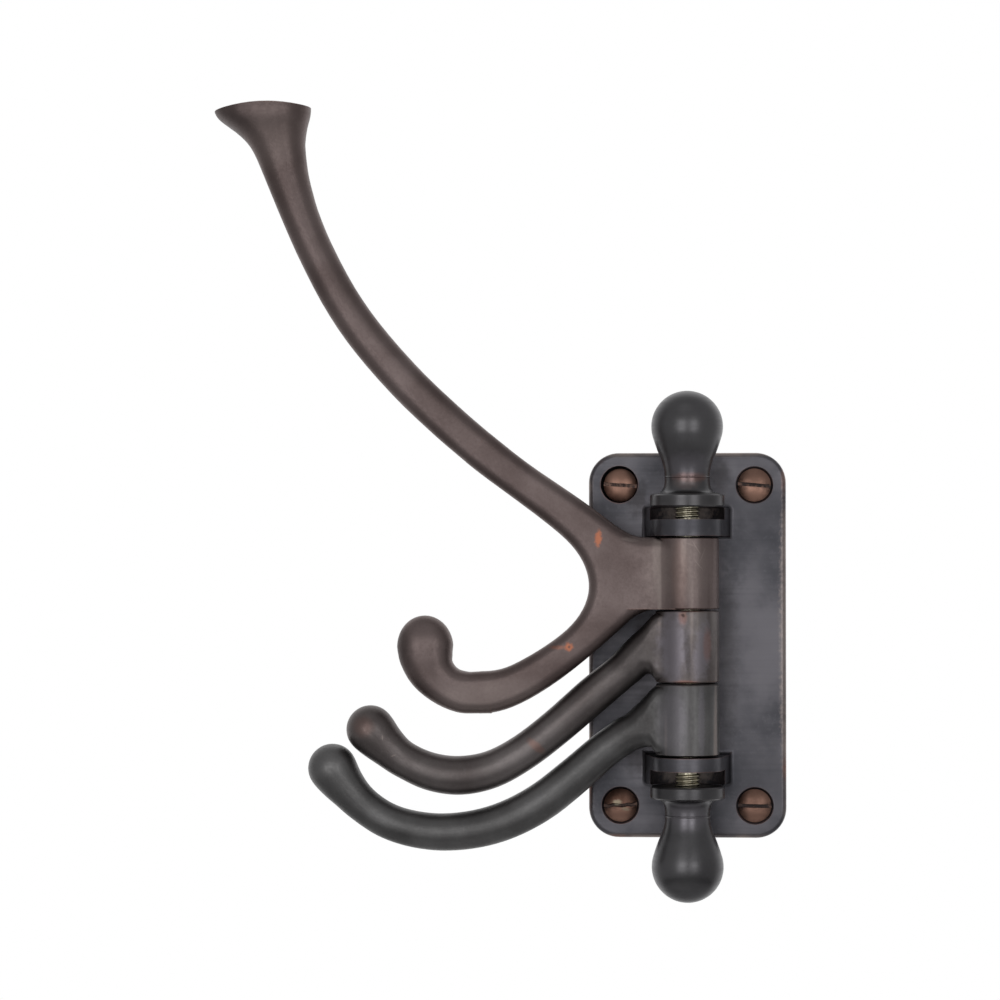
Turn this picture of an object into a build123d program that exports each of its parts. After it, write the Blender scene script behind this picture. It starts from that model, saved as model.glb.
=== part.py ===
from build123d import *
from math import asin, atan2, cos, degrees, hypot, radians, sin, tan
import os

# Swivel coat hook in dark bronzed brass. All sizes in millimetres.
# +Z is up and the wall is the plane Y = 0. The origin is the middle of the backplate's rear face.
# The pin stands in front of the plate, along Z, and the three hooks swing on it.

# backplate
plate_w = 51.0
plate_h = 99.6
plate_t = 4.0
plate_corner = 7.8
plate_edge = 1.3
screw_pitch_x = 34.7
screw_pitch_z = 82.9
screw_hole_r = 2.6
sink_mouth_r = 4.85
sink_half_angle = 41.0

# pin and the stack of knuckles on it
pin_r = 3.175
pin_ahead = 11.5
pin_chamfer = 0.5
running_fit = 0.05
knuckle_r = 8.1
knuckle_h = 18.3
knuckle_gap = 0.35
knuckle_edge = 0.35

# lugs that hold the pin
lug_front_r = 8.9
lug_root_w = 22.8
lug_root_h = 7.4
top_tongue = 4.2
bottom_tongue = 3.5
lug_fillet = 1.2
lug_edge = 0.6
spotface_r = 9.9

# turned finials
finial_len = 29.7
finial_bore_r = 3.25
finial_bore_depth = 11.8
collar_r = 9.5
collar_t = 3.2
collar_edge = 0.35
neck_r = 5.75
neck_at = 7.4
neck_ring = 0.12
ball_r = 9.15
shoulder_r = 7.55
shoulder_at = 14.3
neck_foot = 1.6
neck_foot_z = 0.35
ball_leaves = 16.0
ring_section_r = 0.3
ring_above_neck = 0.2

# slotted raised countersunk wood screws
head_r = 4.3
head_rim = 0.25
crown = 1.1
shank_r = 2.25
shank_len = 4.5
thread_r = 2.05
screw_len = 25.4
point_len = 6.0
slot_w = 0.95
slot_depth = 1.25
slot_clearance = 1.0
seat_lift = 0.03

# hooks
fork_t = 9.4
fork_rim = 3.0
hat_w = 9.6
cradle_w = 10.7
join_step = 0.04
join_depth = 3.0
flare_margin = 0.35

# where things stand
pin_y = -(plate_t + pin_ahead)
pitch = knuckle_h + knuckle_gap
lug_inner_z = 1.5 * pitch + knuckle_gap / 2
lug_outer_z = lug_inner_z + lug_root_h
pin_end_z = lug_outer_z + finial_bore_depth
half_h = knuckle_h / 2

# Stations of the round arms, from the bulb to the root: x and z from the middle of the hook's
# own knuckle, then the radius.
middle_arm = [
    (-81.2, -21.4, 6.15),
    (-79.1, -23.6, 5.85),
    (-76.5, -26.1, 5.15),
    (-72.4, -29.2, 4.7),
    (-65.5, -32.2, 4.85),
    (-58.0, -33.1, 4.95),
    (-50.0, -31.5, 4.8),
    (-42.0, -27.2, 4.65),
    (-33.5, -20.7, 4.65),
    (-24.0, -12.4, 4.75),
    (-16.5, -6.2, 4.6),
]
bottom_arm = [
    (-91.0, -12.7, 6.2),
    (-89.1, -15.5, 5.8),
    (-86.9, -18.2, 5.1),
    (-83.0, -22.1, 4.6),
    (-77.0, -26.0, 4.55),
    (-70.0, -28.2, 4.65),
    (-62.0, -28.95, 4.75),
    (-53.0, -27.9, 4.85),
    (-45.0, -25.3, 4.9),
    (-37.0, -20.9, 4.9),
    (-29.0, -14.6, 4.8),
    (-21.5, -8.1, 4.6),
    (-15.7, -4.0, 4.65),
]

# Flare of a round arm into its knuckle: x, z, heading, half height, half depth and roundness.
# The first three are shares of the knuckle's radius, its half height, and degrees; the half
# height is a share of the room at the knuckle, the depth of the knuckle's radius, and the
# roundness of the section's smaller half size.
root_flare = [
    (-1.574, -0.29, 30.0, 0.565, 0.575, 0.93),
    (-1.37, -0.164, 15.0, 0.655, 0.586, 0.86),
    (-1.21, -0.055, 6.0, 0.76, 0.605, 0.76),
    (-1.074, 0.0, 1.0, 0.90, 0.623, 0.66),
    (-0.963, 0.0, 0.0, 0.965, 0.645, 0.56),
    (-0.802, 0.0, 0.0, 0.99, 0.691, 0.45),
    (-0.605, 0.0, 0.0, 1.0, 0.796, 0.32),
    (-0.432, 0.0, 0.0, 1.0, 0.883, 0.25),
    (-0.247, 0.0, 0.0, 1.0, 0.938, 0.2),
]
arm_roundness = 0.97

# Top hook: the ends of its flat fork, as a centre and the heading of the arm there in degrees
hat_cut = (-53.5, 32.1, 140.5)
cradle_cut = (-53.0, -30.5, 180.0)

# Points on the three edges of the fork between the knuckle and those ends, as x and z
upper_leaves_x = -10.5
lower_leaves_x = -8.6
fork_upper = [(-16.2, 10.9), (-24.7, 17.0), (-37.6, 25.9)]
fork_throat = [
    (-44.5, 19.3), (-34.5, 11.7), (-27.4, 4.3), (-25.1, -4.0),
    (-27.6, -10.8), (-34.5, -17.4), (-43.8, -23.0),
]
fork_lower = [(-45.5, -34.5), (-37.2, -30.3), (-26.4, -22.4), (-14.6, -12.0)]

# Hollow curve in plan by which the fork thickens to its knuckle: x, and y from the middle
blend_side = [(-3.5, 7.25), (-7.0, 5.75), (-12.0, 4.98)]
blend_from_x = -24.0

# Stations of its hat arm and of its bulb, beyond the fork: x, z, heading, width, depth, corner
hat_arm = [
    (-61.3, 38.8, 138.0, 9.6, 9.3, 3.3),
    (-71.8, 48.8, 135.0, 9.6, 9.2, 3.6),
    (-82.3, 60.8, 128.5, 9.5, 9.2, 3.9),
    (-89.3, 71.0, 122.0, 9.3, 9.2, 4.1),
    (-95.6, 83.0, 115.0, 9.2, 9.3, 4.3),
    (-99.3, 91.6, 108.0, 9.5, 9.5, 4.4),
    (-101.4, 97.4, 101.0, 10.3, 9.9, 4.7),
    (-103.0, 102.2, 95.0, 11.3, 10.5, 5.0),
    (-104.5, 107.3, 90.0, 13.0, 11.6, 5.6),
    (-105.6, 110.6, 90.0, 14.7, 12.7, 6.1),
    (-106.9, 113.5, 90.0, 17.9, 14.2, 7.0),
    (-108.3, 115.9, 90.0, 21.6, 15.8, 7.8),
    (-109.2, 118.3, 90.0, 24.6, 17.2, 8.5),
    (-109.2, 122.5, 90.0, 24.8, 17.4, 8.6),
]
hat_dome_r = 38.0
hat_top = (-107.8, 121.6)
bulb_arm = [
    (-57.3, -30.45, 168.0, 10.6, 9.5, 3.2),
    (-61.8, -28.75, 142.0, 10.6, 9.9, 3.9),
    (-65.2, -25.65, 120.0, 11.8, 10.6, 4.7),
    (-66.8, -21.85, 100.0, 13.6, 11.4, 5.4),
    (-67.1, -18.85, 94.0, 14.4, 11.6, 5.65),
]
bulb_reach = 8.0
section_step = 2.6
flare_step = 1.2
bulb_end = (86, 76, 62, 46, 30, 15)
round_off = 0.001


def filled_in(stations, step):
    """Even sections on a smooth curve through all the stations, each with its slope along it."""
    along = [0.0]
    for a, b in zip(stations, stations[1:]):
        along.append(along[-1] + hypot(b[0] - a[0], b[1] - a[1]))
    last = len(stations) - 1
    rates = []
    for i in range(last + 1):
        low, high = max(i - 1, 0), min(i + 1, last)
        rates.append([
            (h - l) / (along[high] - along[low]) for l, h in zip(stations[low], stations[high])
        ])
    count = round(along[-1] / step)
    sections = []
    for k in range(count + 1):
        s = along[-1] * k / count
        i = max(j for j in range(last) if along[j] <= s + 1e-9)
        span = along[i + 1] - along[i]
        u = (s - along[i]) / span
        values, slopes = [], []
        for a, b, m, n in zip(stations[i], stations[i + 1], rates[i], rates[i + 1]):
            c = 3 * (b - a) - span * (2 * m + n)
            d = 2 * (a - b) + span * (m + n)
            values.append(a + u * (span * m + u * (c + u * d)))
            slopes.append(m + u * (2 * c + 3 * u * d) / span)
        sections.append((values, slopes))
    return sections


def square_to(x, z, way):
    """Plane square to an arm that passes x, z along the unit vector way; its local x lies in XZ."""
    return Plane(origin=(x, 0, z), x_dir=(way[1], 0, -way[0]), z_dir=(way[0], 0, way[1]))


def knuckle():
    """Barrel that turns on the pin, centred on the origin, with its sharp end edges eased."""
    barrel = Cylinder(knuckle_r, knuckle_h)
    return chamfer(barrel.edges().filter_by(GeomType.CIRCLE), knuckle_edge)


def bored(hook):
    """The hook with its running bore for the pin."""
    return hook - Cylinder(pin_r + running_fit, 2 * knuckle_h)


def domed_end(x, z, way, section, reach, angles):
    """Sections that shrink along a quarter ellipse beyond a bulb's widest place, against way."""
    outlines = []
    for angle in angles:
        back, share = reach * sin(radians(angle)), cos(radians(angle))
        outline = RectangleRounded(*[share * size for size in section])
        outlines.append(square_to(x - back * way[0], z - back * way[1], way) * outline)
    return outlines


def round_arm(stations):
    """Bulb-ended round arm that flares to the full height of its knuckle."""
    reach = half_h - flare_margin
    flare = [
        (x * knuckle_r, z * half_h, angle, tall * reach, deep * knuckle_r, roundness)
        for x, z, angle, tall, deep, roundness in root_flare
    ]
    centres = stations + flare[:1]
    arm = []
    for i, (x, z, r) in enumerate(stations):
        before, after = centres[max(i - 1, 0)], centres[i + 1]
        angle = degrees(atan2(after[1] - before[1], after[0] - before[0]))
        arm.append((x, z, angle, r, r, arm_roundness))
    sections = filled_in(arm + flare[:1], section_step) + filled_in(flare, flare_step)[1:]
    outlines = []
    for (x, z, angle, tall, deep, roundness), _ in sections:
        way = (cos(radians(angle)), sin(radians(angle)))
        corner = roundness * min(tall, deep)
        if not outlines:
            outlines = domed_end(x, z, way, (2 * tall, 2 * deep, corner), tall, bulb_end)
        outlines.append(square_to(x, z, way) * RectangleRounded(2 * tall, 2 * deep, corner))
    return loft(outlines)


def round_hook(stations):
    """Single hook: knuckle and arm cast in one."""
    return bored(round_arm(stations) + knuckle())


def flat_arm(cut, width, stations, step, dome=0.0):
    """Rounded bar that carries on from a cut end of the fork, set a little way into it."""
    x, z, angle = cut
    start = (cos(radians(angle)), sin(radians(angle)))
    end = (width - 2 * join_step, fork_t - 2 * join_step, fork_rim - join_step)
    sunk = (x - join_depth * start[0], z - join_depth * start[1], angle) + end
    outlines = []
    for (x, z, angle, wide, deep, corner), _ in filled_in([sunk, (x, z, angle) + end] + stations, step):
        way = (cos(radians(angle)), sin(radians(angle)))
        outlines.append(square_to(x, z, way) * RectangleRounded(wide, deep, corner))
    if dome:
        back = (-way[0], -way[1])
        outlines += reversed(domed_end(x, z, back, (wide, deep, corner), dome, bulb_end))
    return loft(outlines)


def cut_ends(cut, width):
    """The two corners of the fork at a cut end: right and left of the heading."""
    x, z, angle = cut
    across = (sin(radians(angle)) * width / 2, -cos(radians(angle)) * width / 2)
    return (x + across[0], z + across[1]), (x - across[0], z - across[1])


def fork_outline():
    """Outline in XZ of the flat Y-shaped fork, from the knuckle's middle to its two cut ends."""
    hat_right, hat_left = cut_ends(hat_cut, hat_w)
    cradle_right, cradle_left = cut_ends(cradle_cut, cradle_w)
    hat_way = (cos(radians(hat_cut[2])), sin(radians(hat_cut[2])))
    upper_start, lower_end = (upper_leaves_x, half_h), (lower_leaves_x, -half_h)
    upper = Spline([upper_start] + fork_upper + [hat_right], tangents=[(-1, 0), hat_way])
    throat = Spline(
        [hat_left] + fork_throat + [cradle_right],
        tangents=[(-hat_way[0], -hat_way[1]), (-1, 0)],
    )
    lower = Spline([cradle_left] + fork_lower + [lower_end], tangents=[(1, 0), (1, 0.25)])
    edges = [
        Line((0, half_h), upper_start),
        upper,
        Line(hat_right, hat_left),
        throat,
        Line(cradle_right, cradle_left),
        lower,
        Line(lower_end, (0, -half_h)),
        Line((0, -half_h), (0, half_h)),
    ]
    return make_face(edges)


def fork():
    """Flat fork with rounded rims, thickened towards the knuckle in a hollow curve."""
    outline = Plane.XZ * fork_outline()
    near, far = blend_side[0], (blend_from_x, fork_t / 2)
    out_x = hat_cut[0] - fork_t
    half = make_face([
        Line((0, 0), (0, near[1])),
        Line((0, near[1]), near),
        Spline(blend_side + [far], tangents=[(-0.9, -0.43), (-1, 0)]),
        Line(far, (out_x, fork_t / 2)),
        Line((out_x, fork_t / 2), (out_x, 0)),
        Line((out_x, 0), (0, 0)),
    ])
    plan = extrude(half + mirror(half, about=Plane.XZ), amount=4 * knuckle_h, both=True)
    bar = plan & extrude(outline, amount=knuckle_r, both=True)
    rims = [
        edge
        for edge in bar.edges()
        if abs(edge.center().Y) > fork_t / 2 - 0.01
        and edge.length > cradle_w + 1
        and edge.center().X < -1
    ]
    return fillet(rims, fork_rim)


def top_hook():
    """Hat and coat hook: fork, hat arm with its domed trumpet end, and bulb-ended coat arm."""
    hat = flat_arm(hat_cut, hat_w, hat_arm, section_step)
    x, z = hat_top
    ball = Pos(x, 0, z - hat_dome_r) * Rot(90, 0, 0) * Sphere(hat_dome_r)
    hat -= Pos(x, 0, z) * Box(hat_dome_r, hat_dome_r, hat_dome_r / 2) - ball
    bulb = flat_arm(cradle_cut, cradle_w, bulb_arm, section_step / 2, bulb_reach)
    return bored(fork() + knuckle() + hat + bulb)


def lug():
    """Upper lug as cast: a block on the plate, rounded in front round the pin."""
    base_y = -plate_t / 2
    front = Pos(0, pin_y) * Circle(lug_front_r)
    base = Line((-lug_root_w / 2, base_y), (lug_root_w / 2, base_y))
    plan = make_hull([front.edge(), base])
    block = extrude(plan, amount=lug_root_h)
    rims = [edge for edge in block.edges() if abs(edge.center().Z - lug_root_h) < 0.01]
    rims = [edge for edge in rims if edge.center().Y < base_y - 0.01]
    return Pos(0, 0, lug_inner_z) * fillet(rims, lug_edge)


def spotface(tongue):
    """Room that is cut out above the tongue, round the pin."""
    depth = 2 * lug_root_h
    low = lug_inner_z + tongue
    return Pos(0, pin_y, low + depth / 2) * Cylinder(spotface_r, depth)


def screw_places():
    """Each screw's place, how far its hole is off it and sunk deeper, and its slot's angle."""
    x, z = screw_pitch_x / 2, screw_pitch_z / 2
    return [
        (-x, z, (-0.24, 0.17), 0.7, 4.0),
        (x, z, (0.0, 0.0), 0.0, 5.0),
        (-x, -z, (0.0, 0.0), 0.0, -3.0),
        (x, -z, (0.0, 0.0), 0.0, 1.0),
    ]


def into_wall(x, y, z):
    """Plane at a point, whose normal points into the wall."""
    return Plane(origin=(x, y, z), x_dir=(1, 0, 0), z_dir=(0, 1, 0))


def screw_hole(sunk):
    """Countersunk hole along local z, its cone starting at the depth sunk."""
    cone = (sink_mouth_r - screw_hole_r) / tan(radians(sink_half_angle))
    low = (Align.CENTER, Align.CENTER, Align.MIN)
    hole = Cylinder(screw_hole_r, 2 * plate_t, align=low)
    hole += Pos(0, 0, sunk) * Cone(sink_mouth_r, screw_hole_r, cone, align=low)
    return hole + Pos(0, 0, -plate_t) * Cylinder(sink_mouth_r, plate_t + sunk, align=low)


def backplate():
    """Cast plate with a lug at each end of the pin and four countersunk screw holes."""
    plate = extrude(Plane.XZ * RectangleRounded(plate_w, plate_h, plate_corner), amount=plate_t)
    plate = fillet(plate.faces().sort_by(Axis.Y)[0].edges(), plate_edge)
    plate += lug()
    plate += mirror(lug(), about=Plane.XY)
    feet = [
        edge
        for edge in plate.edges()
        if abs(edge.center().Y + plate_t) < 0.01
        and abs(edge.center().X) < lug_root_w / 2 + 1
        and lug_inner_z - 1 < abs(edge.center().Z) < lug_outer_z + 1
    ]
    plate = fillet(feet, lug_fillet)
    plate -= spotface(top_tongue)
    plate -= mirror(spotface(bottom_tongue), about=Plane.XY)
    plate -= Pos(0, pin_y, 0) * Cylinder(pin_r + running_fit, 3 * lug_outer_z)
    for x, z, off, sunk, _ in screw_places():
        plate -= into_wall(x + off[0], -plate_t, z + off[1]) * screw_hole(sunk)
    return plate


def pivot_pin():
    """Plain rod through both lugs and all three knuckles; its ends screw into the finials."""
    pin = Cylinder(pin_r, 2 * pin_end_z)
    return Pos(0, pin_y, 0) * chamfer(pin.edges().filter_by(GeomType.CIRCLE), pin_chamfer)


def finial():
    """Turned finial: collar, waisted neck and ball, bored from below for the end of the pin."""
    ball_at = finial_len - ball_r
    leave, middle = radians(ball_leaves), radians(90 - ball_leaves) / 2
    leave_r, leave_z = ball_r * cos(leave), ball_at - ball_r * sin(leave)
    foot = (neck_r + neck_foot, collar_t + neck_foot_z)
    profile = make_face([
        Line((0, 0), (collar_r - collar_edge, 0)),
        Line((collar_r - collar_edge, 0), (collar_r, collar_edge)),
        Line((collar_r, collar_edge), (collar_r, collar_t - collar_edge)),
        Line((collar_r, collar_t - collar_edge), (collar_r - collar_edge, collar_t)),
        Line((collar_r - collar_edge, collar_t), foot),
        Spline([foot, (neck_r, neck_at)], tangents=[(-1.2, 0.5), (0, 1)]),
        Spline(
            [(neck_r, neck_at), (shoulder_r, shoulder_at), (leave_r, leave_z)],
            tangents=[(0, 1), (sin(leave), cos(leave))],
        ),
        ThreePointArc(
            (leave_r, leave_z),
            (ball_r * cos(middle), ball_at + ball_r * sin(middle)),
            (0, finial_len),
        ),
        Line((0, finial_len), (0, 0)),
    ])
    body = revolve(Plane.XZ * profile, axis=Axis.Z)
    ring_at = neck_r + neck_ring - ring_section_r
    ring = Pos(0, 0, neck_at + ring_above_neck) * Torus(ring_at, ring_section_r)
    bore = Pos(0, 0, finial_bore_depth / 2) * Cylinder(finial_bore_r, finial_bore_depth)
    return Pos(0, pin_y, lug_outer_z) * (body + ring - bore)


def plate_screw(slot_angle):
    """One screw along local z, its head's rim at z = 0 and its point away from the viewer."""
    cone = (head_r - shank_r) / tan(radians(sink_half_angle))
    crown_r = (head_r**2 + crown**2) / (2 * crown)
    half = asin(head_r / crown_r) / 2
    profile = make_face([
        Line((0, screw_len), (thread_r, screw_len - point_len)),
        Line((thread_r, screw_len - point_len), (thread_r, shank_len)),
        Line((thread_r, shank_len), (shank_r, shank_len)),
        Line((shank_r, shank_len), (shank_r, head_rim + cone)),
        Line((shank_r, head_rim + cone), (head_r, head_rim)),
        Line((head_r, head_rim), (head_r, 0)),
        ThreePointArc(
            (head_r, 0), (crown_r * sin(half), crown_r * (1 - cos(half)) - crown), (0, -crown)
        ),
        Line((0, -crown), (0, screw_len)),
    ])
    body = revolve(Plane.XZ * profile, axis=Axis.Z)
    cutter = Box(3 * head_r, slot_w, slot_depth + slot_clearance)
    slot = Pos(0, 0, (slot_depth - slot_clearance) / 2 - crown) * cutter
    return body - Rot(0, 0, slot_angle) * slot


def plate_screws():
    """The four screws, each seated on its countersink."""
    screws = []
    for x, z, off, sunk, slot_angle in screw_places():
        room = sink_mouth_r - head_r - hypot(*off)
        recess = sunk + room / tan(radians(sink_half_angle)) - head_rim
        seat = into_wall(x, -plate_t + recess - seat_lift, z)
        screws.append(seat * plate_screw(slot_angle))
    return Compound(children=screws)


def at_knuckle(hook, level):
    """A hook moved to its place on the pin, level knuckles above the middle one."""
    return Pos(0, pin_y, level * pitch) * hook


pieces = {
    "backplate": backplate(),
    "pivot_pin": pivot_pin(),
    "top_finial": finial(),
    "bottom_finial": mirror(finial(), about=Plane.XY),
    "top_hook": at_knuckle(top_hook(), 1),
    "middle_hook": at_knuckle(round_hook(middle_arm), 0),
    "bottom_hook": at_knuckle(round_hook(bottom_arm), -1),
    "plate_screws": plate_screws(),
}

os.makedirs("parts", exist_ok=True)
for name, piece in pieces.items():
    export_step(piece, "parts/" + name + ".step")
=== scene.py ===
"""Swivel coat hook: rubbed bronze finishes, threads, slotted screws, camera and studio."""

from math import pi, radians, sin, sqrt

import bmesh
import bpy
from bpy.props import FloatProperty, FloatVectorProperty, PointerProperty
from mathutils import Matrix, Vector


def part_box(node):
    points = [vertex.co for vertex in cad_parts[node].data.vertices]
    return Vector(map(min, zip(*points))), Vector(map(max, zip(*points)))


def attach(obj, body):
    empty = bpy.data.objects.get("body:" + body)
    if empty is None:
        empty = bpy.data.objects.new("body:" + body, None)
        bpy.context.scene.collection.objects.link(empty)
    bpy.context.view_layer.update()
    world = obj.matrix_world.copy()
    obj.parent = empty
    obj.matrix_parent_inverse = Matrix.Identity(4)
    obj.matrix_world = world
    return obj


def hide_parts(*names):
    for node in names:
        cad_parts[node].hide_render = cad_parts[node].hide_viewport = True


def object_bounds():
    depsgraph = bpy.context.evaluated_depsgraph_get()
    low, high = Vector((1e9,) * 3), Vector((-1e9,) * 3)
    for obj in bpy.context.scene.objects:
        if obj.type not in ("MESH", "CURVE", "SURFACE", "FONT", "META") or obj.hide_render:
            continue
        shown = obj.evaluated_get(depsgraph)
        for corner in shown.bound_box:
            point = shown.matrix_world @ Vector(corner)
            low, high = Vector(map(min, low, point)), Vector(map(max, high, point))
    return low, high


bl_info = {
    "name": "Swivel Coat Hook",
    "version": (1, 0, 0),
    "blender": (4, 5, 0),
    "location": "3D View > Sidebar > Coat Hook",
    "description": "Finishes a bronze swivel coat hook and sets up its studio",
    "category": "Object",
}

MM = 0.001
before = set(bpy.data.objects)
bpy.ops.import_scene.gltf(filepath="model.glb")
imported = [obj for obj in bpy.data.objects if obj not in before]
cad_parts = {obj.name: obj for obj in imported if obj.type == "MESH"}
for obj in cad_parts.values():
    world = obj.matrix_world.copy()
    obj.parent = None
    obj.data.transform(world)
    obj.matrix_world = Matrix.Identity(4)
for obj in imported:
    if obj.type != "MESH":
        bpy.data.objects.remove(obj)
cad_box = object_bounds()

# The pin's axis, its ends and its radius, from the frame
pin_low, pin_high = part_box("pivot_pin")
PIN_Y = (pin_low.y + pin_high.y) / 2
PIN_R = (pin_high.x - pin_low.x) / 2

# Depths of the marks in mm: over the plate's face, so that none reaches its rear, on the front of the
# arms, on the front of the knuckles and on the front of the finials' necks
ABOVE_PLATE = -6.0
PIN_AXIS = PIN_Y / MM
ARMS = PIN_AXIS - 4.7
KNUCKLES = PIN_AXIS - 8.1
NECKS = PIN_AXIS - 5.8

# Real sizes of the finish. The hairlines are drawn several times as coarse as real ones, to show.
CLOUD = 17.0 * MM
GRAIN = 0.9 * MM
HAIRLINE = 0.7 * MM
HAIRLINE_DEPTH = 0.02 * MM
KNUCKLE_STREAK = 4.2 * MM
STREAK_SHORTENED = 0.07
KNUCKLE_SKIN, KNUCKLE_FADE = 8.3 * MM, 12.5 * MM
WORN_EDGE = 0.5 * MM
WEAR_PATCH = 6.0 * MM
RIM_BAND = 1.5 * MM
RIM_PATCH = 9.0 * MM
# Reach of the darkening in corners: old wax and dirt with painted shade, and on the plate a wider painted
# contact shadow
SMALL_CORNER, PLATE_CORNER = 1.6 * MM, 4.0 * MM

# A mark fades from its outer to its inner share of its half sizes, with a border this ragged
MARK_OUTER, MARK_INNER = 1.25, 0.45
RAGGED = 0.25

# Form of a screw thread: its foot under the core, and the shares of a pitch from foot to foot
THREAD_FOOT = 0.04 * MM
THREAD_FORM = (0.02, 0.42, 0.58, 0.98)

# Steps of a full turn
PIN_STEPS, PIN_THREAD_STEPS = 48, 36
SCREW_STEPS, SCREW_THREAD_STEPS = 64, 32
DOME_STEPS = 8

# Wood screws: slope under the head, step from shank to core, bare lengths before and after the thread
COUNTERSINK_SLOPE = 0.869
SHANK_STEP = 0.6 * MM
THREAD_START, THREAD_STOP = 0.3 * MM, 0.8 * MM

# A chewed slot: depth of its bites, and the two waves that they follow along it, per metre
CHEWED = 0.16 * MM
LONG_WAVE, SHORT_WAVE = 2300, 5100

# Edges that turn by more are left sharp on a casting, and are eased on a slot
SHARP_EDGE, EASED_EDGE = radians(28), radians(35)

# Points closer than these are one point, on a casting and on a turned piece
CASTING_SEAM, TURNED_SEAM = 1e-6, 1e-7


def linear(hex_colour):
    """The linear colour that a shader takes, from an sRGB hex value."""
    parts = [int(hex_colour[i:i + 2], 16) / 255 for i in (1, 3, 5)]
    return tuple(c / 12.92 if c <= 0.04045 else ((c + 0.055) / 1.055) ** 2.4 for c in parts)


def length_property(label, description, millimetres):
    """A length that the user may change, with its default in millimetres."""
    return FloatProperty(
        name=label, description=description, default=millimetres * MM,
        unit="LENGTH", subtype="DISTANCE", precision=5,
    )


def colour_property(label, description, hex_colour):
    """A colour that the user may change, with its default in sRGB hex."""
    return FloatVectorProperty(
        name=label, description=description, default=linear(hex_colour),
        subtype="COLOR", size=3, min=0.0, max=1.0,
    )


class HookSizes(bpy.types.PropertyGroup):
    """Sizes of the threads, the screws and the studio."""

    pin_pitch: length_property("Pin thread pitch", "Distance from crest to crest on the pin", 1.04)
    pin_thread_depth: length_property("Pin thread depth", "From crest to root on the pin", 0.55)
    pin_thread_length: length_property("Pin thread length", "Threaded length at each end", 15.4)
    wood_pitch: length_property("Screw pitch", "Distance from crest to crest on a screw", 2.1)
    wood_root: length_property("Screw root radius", "Core radius under the wood thread", 1.35)
    wood_crest: length_property("Screw crest radius", "Outer radius of the wood thread", 2.05)
    shank: length_property("Screw shank radius", "Plain radius under the head", 2.25)
    shank_length: length_property("Screw shank length", "From the head's rim to the thread", 4.5)
    screw_length: length_property("Screw length", "From the head's rim to the point", 25.4)
    point_length: length_property("Screw point length", "Length of the tapered point", 6.0)
    head: length_property("Head radius", "Radius of the screw heads", 4.3)
    head_rim: length_property("Head rim", "Straight rim of the screw heads", 0.25)
    crown: length_property("Head crown", "Height of the raised head over its rim", 1.1)
    slot_width: length_property("Slot width", "Width of the screws' slots", 0.95)
    slot_depth: length_property("Slot depth", "Depth of the slots below the crown", 1.25)
    edge_ease: length_property("Eased edge", "Radius of the worn edges of a slot", 0.09)
    floor_drop: length_property("Floor drop", "From the lowest point down to the floor", 260.0)


class HookColours(bpy.types.PropertyGroup):
    """Colours of the patina, of the metal worn bare, of painted light and shade, and of the studio."""

    plate_low: colour_property("Plate patina", "Dark clouds of the plate", "#4b4b50")
    plate_high: colour_property("Plate patina, light", "Light clouds of the plate", "#727075")
    turned_low: colour_property("Finial patina", "Dark clouds of the finials", "#525153")
    turned_high: colour_property("Finial patina, light", "Light clouds of the finials", "#676668")
    black_low: colour_property("Black patina", "Dark clouds of the lowest hook", "#5a5959")
    black_high: colour_property("Black patina, light", "Light clouds of the lowest hook", "#7b7a7a")
    grey_low: colour_property("Grey patina", "Dark clouds of the middle hook", "#635c5b")
    grey_high: colour_property("Grey patina, light", "Light clouds of the middle hook", "#827c7b")
    brown_low: colour_property("Brown patina", "Dark clouds of the brown bronze", "#655856")
    brown_high: colour_property("Brown patina, light", "Light clouds of the brown bronze", "#7f7270")
    # Also the colour of painted shade and painted shadow: in corners and slots, beside the knuckles,
    # under the arms and on the bulb
    grime_and_shade: colour_property("Grime", "Dirt and old wax in the corners", "#302c2c")
    copper: colour_property("Worn copper", "Metal that shows on rubbed edges", "#9a6c5c")
    bright: colour_property("Bright copper", "Fresh marks through the patina", "#d3805a")
    # A painted highlight, laid on the knuckles and on the fronts of the finials' necks
    rubbed: colour_property("Rubbed patina", "Patina rubbed light on the barrels", "#96919a")
    # Also the colour of painted highlights, and of painted light in shaded gaps and hollows
    scuff_and_highlight: colour_property("Scuffed metal", "Light scratches and scuffs", "#a59994")
    screw_low: colour_property("Screw bronze", "Dark clouds of the plated screws", "#5c443a")
    screw_high: colour_property("Screw bronze, light", "Light clouds of the plated screws", "#8f7164")
    # Painted light on the lower halves of the screw heads and on the deeper top-left head
    screw_painted_light: colour_property("Screw bronze, worn", "Rubbed parts of the screw heads", "#b58d7c")
    brass: colour_property("Raw brass", "Turned thread of the pin", "#e2dcc6")
    brass_low: colour_property("Raw brass, stained", "Grime in the pin's thread", "#a9a28c")
    floor: colour_property("Floor", "Pale floor", "#f4f4f4")


def add_node(tree, kind, inputs=(), output=0, **settings):
    """Adds one node with its settings and links, and gives back one of its outputs."""
    node = tree.nodes.new(kind)
    for key, value in settings.items():
        setattr(node, key, value)
    for key, value in inputs.items() if isinstance(inputs, dict) else enumerate(inputs):
        if isinstance(value, bpy.types.NodeSocket):
            tree.links.new(value, node.inputs[key])
        else:
            node.inputs[key].default_value = value
    return node.outputs[output] if node.outputs else None


# Settings of the nodes that are used most. A range takes a value, its limits and the results there.
MIX = {"kind": "ShaderNodeMix", "output": 2, "data_type": "RGBA"}
RANGE = {"kind": "ShaderNodeMapRange", "interpolation_type": "SMOOTHSTEP"}
TIMES = {"kind": "ShaderNodeMath", "operation": "MULTIPLY"}
LARGER = {"kind": "ShaderNodeMath", "operation": "MAXIMUM"}


def opaque(colour):
    """A colour with the alpha that a colour socket takes."""
    return (*colour, 1.0)


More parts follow.
